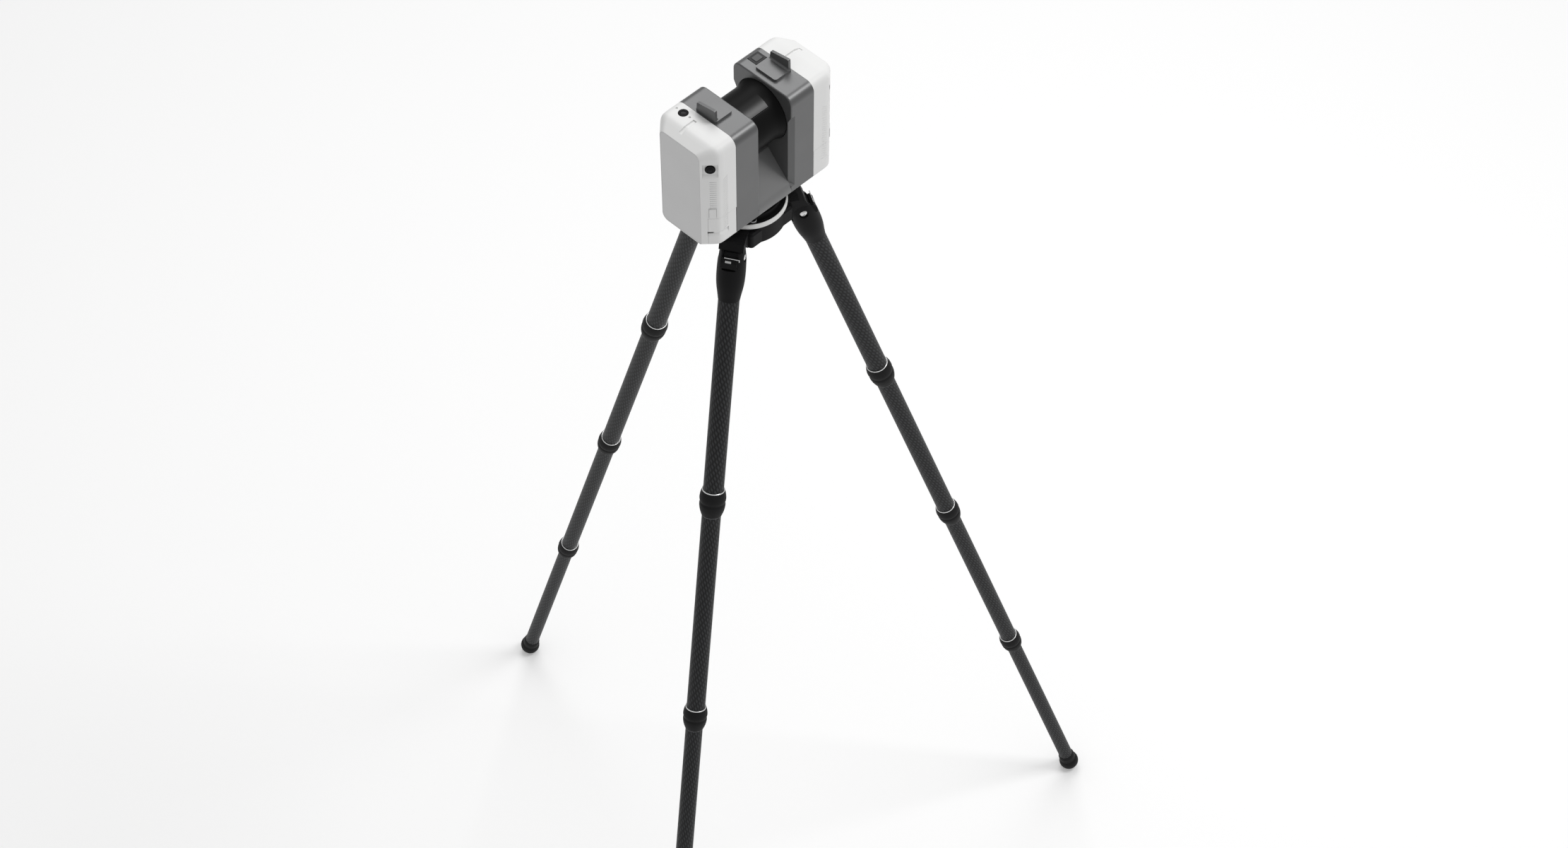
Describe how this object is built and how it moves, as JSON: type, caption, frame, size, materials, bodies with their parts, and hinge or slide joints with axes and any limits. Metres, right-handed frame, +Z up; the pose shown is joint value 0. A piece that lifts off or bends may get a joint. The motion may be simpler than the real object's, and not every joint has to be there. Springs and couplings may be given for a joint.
{
  "type": "terrestrial laser scanner on tripod",
  "caption": "Two-lobed laser scanner with a spinning mirror drum between its lobes, on a tripod with telescoping tube legs, twist locks and ball feet.",
  "frame": {"origin": "plumb point on the ground under the scanner's vertical axis", "axes": "+Z up along the vertical axis; +X along the mirror axis from the left lobe to the right lobe; +Y towards the rear leg"},
  "size_m": [1.065, 0.927, 1.8859],
  "materials": {
    "black_casting": "painted, satin",
    "black_plastic": "matte",
    "light_ring": "satin",
    "bright_steel": "polished",
    "carbon": "woven, satin",
    "grey_housing": "painted, fine matt",
    "white_cover": "fine satin",
    "end_grey": "matt",
    "display": "gloss",
    "camera_glass": "gloss",
    "drum_black": "anodised, satin",
    "mirror": "polished",
    "aluminium": "machined",
    "bearing_steel": "polished",
    "motor_case": "anodised, satin",
    "battery_case": "matt",
    "rubber_black": "matt"
  },
  "bodies": {
    "platform": {"tripod_platform": "black_casting", "platform_ring": "light_ring", "pivot_bolts": "bright_steel", "quick_release_adapter": "black_casting", "scanner_base": "black_casting", "azimuth_bearing": "bearing_steel"},
    "fixing_screw": {"fixing_screw": "black_casting"},
    "quick_release_lever": {"quick_release_lever": "black_plastic"},
    "alidade": {"chassis": "aluminium", "bridge_cover": "grey_housing", "left_housing": "grey_housing", "right_housing": "grey_housing", "left_cover": "white_cover", "right_cover": "white_cover", "end_panel": "end_grey", "display_panel": "display", "camera_windows": "camera_glass", "accessory_brackets": "grey_housing", "drum_bearings": "bearing_steel", "drum_motor": "motor_case", "laser_module": "motor_case", "batteries": "battery_case"},
    "drum": {"mirror_drum": "drum_black", "scan_mirror": "mirror", "drum_shaft": "bearing_steel"},
    "power_button": {"power_button": "black_plastic"},
    "left_battery_door": {"left_battery_door": "white_cover"},
    "right_battery_door": {"right_battery_door": "white_cover"},
    "left_door_latch": {"left_door_latch": "white_cover"},
    "right_door_latch": {"right_door_latch": "white_cover"},
    "rear_leg_upper": {"rear_leg_knuckle": "black_casting", "rear_leg_tube_1": "carbon"},
    "rear_section_2": {"rear_leg_tube_2": "carbon"},
    "rear_section_3": {"rear_leg_tube_3": "carbon"},
    "rear_section_4": {"rear_leg_tube_4": "carbon", "rear_foot": "rubber_black"},
    "rear_twist_lock_1": {"rear_lock_1": "rubber_black"},
    "rear_twist_lock_2": {"rear_lock_2": "rubber_black"},
    "rear_twist_lock_3": {"rear_lock_3": "rubber_black"},
    "rear_angle_stop": {"rear_angle_latch": "black_casting"},
    "right_leg_upper": {"right_leg_knuckle": "black_casting", "right_leg_tube_1": "carbon"},
    "right_section_2": {"right_leg_tube_2": "carbon"},
    "right_section_3": {"right_leg_tube_3": "carbon"},
    "right_section_4": {"right_leg_tube_4": "carbon", "right_foot": "rubber_black"},
    "right_twist_lock_1": {"right_lock_1": "rubber_black"},
    "right_twist_lock_2": {"right_lock_2": "rubber_black"},
    "right_twist_lock_3": {"right_lock_3": "rubber_black"},
    "right_angle_stop": {"right_angle_latch": "black_casting"},
    "left_leg_upper": {"left_leg_knuckle": "black_casting", "left_leg_tube_1": "carbon"},
    "left_section_2": {"left_leg_tube_2": "carbon"},
    "left_section_3": {"left_leg_tube_3": "carbon"},
    "left_section_4": {"left_leg_tube_4": "carbon", "left_foot": "rubber_black"},
    "left_twist_lock_1": {"left_lock_1": "rubber_black"},
    "left_twist_lock_2": {"left_lock_2": "rubber_black"},
    "left_twist_lock_3": {"left_lock_3": "rubber_black"},
    "left_angle_stop": {"left_angle_latch": "black_casting"}
  },
  "joints": [
    {"name": "azimuth_turn", "type": "hinge", "parent": "platform", "child": "alidade", "pos_m": [0, 0, 1.67358], "axis": [0, 0, 1], "continuous": true},
    {"name": "drum_spin", "type": "hinge", "parent": "alidade", "child": "drum", "pos_m": [0, 0, 1.80878], "axis": [1, 0, 0], "continuous": true},
    {"name": "fixing_screw_turn", "type": "hinge", "parent": "platform", "child": "fixing_screw", "pos_m": [0, 0, 1.60348], "axis": [0, 0, 1], "continuous": true},
    {"name": "quick_release_swing", "type": "hinge", "parent": "platform", "child": "quick_release_lever", "pos_m": [-0.023, -0.033, 1.66718], "axis": [0, 0, 1], "range_deg": [0, 70]},
    {"name": "power_button_press", "type": "slide", "parent": "alidade", "child": "power_button", "axis": [0, 0, -1], "range_m": [0, 0.001], "stiffness_N_per_m": 1200, "springref_m": -0.0006},
    {"name": "left_door_swing", "type": "hinge", "parent": "alidade", "child": "left_battery_door", "pos_m": [-0.0788, -0.057, 1.70658], "axis": [0, 0, 1], "range_deg": [0, 95]},
    {"name": "right_door_swing", "type": "hinge", "parent": "alidade", "child": "right_battery_door", "pos_m": [0.0788, -0.057, 1.70658], "axis": [0, 0, -1], "range_deg": [0, 95]},
    {"name": "left_latch_slide", "type": "slide", "parent": "alidade", "child": "left_door_latch", "axis": [0, 0, 1], "range_m": [0, 0.0025]},
    {"name": "right_latch_slide", "type": "slide", "parent": "alidade", "child": "right_door_latch", "axis": [0, 0, 1], "range_m": [0, 0.0025]},
    {"name": "rear_leg_fold", "type": "hinge", "parent": "platform", "child": "rear_leg_upper", "pos_m": [0, 0.0804, 1.61348], "axis": [-1, 0, 0], "range_deg": [0, 17.8]},
    {"name": "rear_extend_1", "type": "slide", "parent": "rear_leg_upper", "child": "rear_section_2", "axis": [0, -0.3069, 0.9518], "range_m": [0, 0.3385]},
    {"name": "rear_extend_2", "type": "slide", "parent": "rear_section_2", "child": "rear_section_3", "axis": [0, -0.3069, 0.9518], "range_m": [0, 0.3745]},
    {"name": "rear_extend_3", "type": "slide", "parent": "rear_section_3", "child": "rear_section_4", "axis": [0, -0.3069, 0.9518], "range_m": [0, 0.38]},
    {"name": "rear_lock_turn_1", "type": "hinge", "parent": "rear_leg_upper", "child": "rear_twist_lock_1", "pos_m": [0, 0.21048, 1.21003], "axis": [0, -0.3069, 0.9518], "range_deg": [0, 90]},
    {"name": "rear_lock_turn_2", "type": "hinge", "parent": "rear_section_2", "child": "rear_twist_lock_2", "pos_m": [0, 0.33531, 0.82286], "axis": [0, -0.3069, 0.9518], "range_deg": [0, 90]},
    {"name": "rear_lock_turn_3", "type": "hinge", "parent": "rear_section_3", "child": "rear_twist_lock_3", "pos_m": [0, 0.46321, 0.42617], "axis": [0, -0.3069, 0.9518], "range_deg": [0, 90]},
    {"name": "rear_angle_pull", "type": "slide", "parent": "rear_leg_upper", "child": "rear_angle_stop", "axis": [0, 0.9518, 0.3069], "range_m": [0, 0.004], "stiffness_N_per_m": 1500, "springref_m": -0.0015},
    {"name": "right_leg_fold", "type": "hinge", "parent": "platform", "child": "right_leg_upper", "pos_m": [0.06963, -0.0402, 1.61348], "axis": [0.5, 0.866, 0], "range_deg": [0, 17.8]},
    {"name": "right_extend_1", "type": "slide", "parent": "right_leg_upper", "child": "right_section_2", "axis": [-0.2657, 0.1534, 0.9518], "range_m": [0, 0.3385]},
    {"name": "right_extend_2", "type": "slide", "parent": "right_section_2", "child": "right_section_3", "axis": [-0.2657, 0.1534, 0.9518], "range_m": [0, 0.3745]},
    {"name": "right_extend_3", "type": "slide", "parent": "right_section_3", "child": "right_section_4", "axis": [-0.2657, 0.1534, 0.9518], "range_m": [0, 0.38]},
    {"name": "right_lock_turn_1", "type": "hinge", "parent": "right_leg_upper", "child": "right_twist_lock_1", "pos_m": [0.18228, -0.10524, 1.21003], "axis": [-0.2657, 0.1534, 0.9518], "range_deg": [0, 90]},
    {"name": "right_lock_turn_2", "type": "hinge", "parent": "right_section_2", "child": "right_twist_lock_2", "pos_m": [0.29039, -0.16765, 0.82286], "axis": [-0.2657, 0.1534, 0.9518], "range_deg": [0, 90]},
    {"name": "right_lock_turn_3", "type": "hinge", "parent": "right_section_3", "child": "right_twist_lock_3", "pos_m": [0.40115, -0.2316, 0.42617], "axis": [-0.2657, 0.1534, 0.9518], "range_deg": [0, 90]},
    {"name": "right_angle_pull", "type": "slide", "parent": "right_leg_upper", "child": "right_angle_stop", "axis": [0.8242, -0.4759, 0.3069], "range_m": [0, 0.004], "stiffness_N_per_m": 1500, "springref_m": -0.0015},
    {"name": "left_leg_fold", "type": "hinge", "parent": "platform", "child": "left_leg_upper", "pos_m": [-0.06963, -0.0402, 1.61348], "axis": [0.5, -0.866, 0], "range_deg": [0, 17.8]},
    {"name": "left_extend_1", "type": "slide", "parent": "left_leg_upper", "child": "left_section_2", "axis": [0.2657, 0.1534, 0.9518], "range_m": [0, 0.3385]},
    {"name": "left_extend_2", "type": "slide", "parent": "left_section_2", "child": "left_section_3", "axis": [0.2657, 0.1534, 0.9518], "range_m": [0, 0.3745]},
    {"name": "left_extend_3", "type": "slide", "parent": "left_section_3", "child": "left_section_4", "axis": [0.2657, 0.1534, 0.9518], "range_m": [0, 0.38]},
    {"name": "left_lock_turn_1", "type": "hinge", "parent": "left_leg_upper", "child": "left_twist_lock_1", "pos_m": [-0.18228, -0.10524, 1.21003], "axis": [0.2657, 0.1534, 0.9518], "range_deg": [0, 90]},
    {"name": "left_lock_turn_2", "type": "hinge", "parent": "left_section_2", "child": "left_twist_lock_2", "pos_m": [-0.29039, -0.16765, 0.82286], "axis": [0.2657, 0.1534, 0.9518], "range_deg": [0, 90]},
    {"name": "left_lock_turn_3", "type": "hinge", "parent": "left_section_3", "child": "left_twist_lock_3", "pos_m": [-0.40115, -0.2316, 0.42617], "axis": [0.2657, 0.1534, 0.9518], "range_deg": [0, 90]},
    {"name": "left_angle_pull", "type": "slide", "parent": "left_leg_upper", "child": "left_angle_stop", "axis": [-0.8242, -0.4759, 0.3069], "range_m": [0, 0.004], "stiffness_N_per_m": 1500, "springref_m": -0.0015}
  ]
}
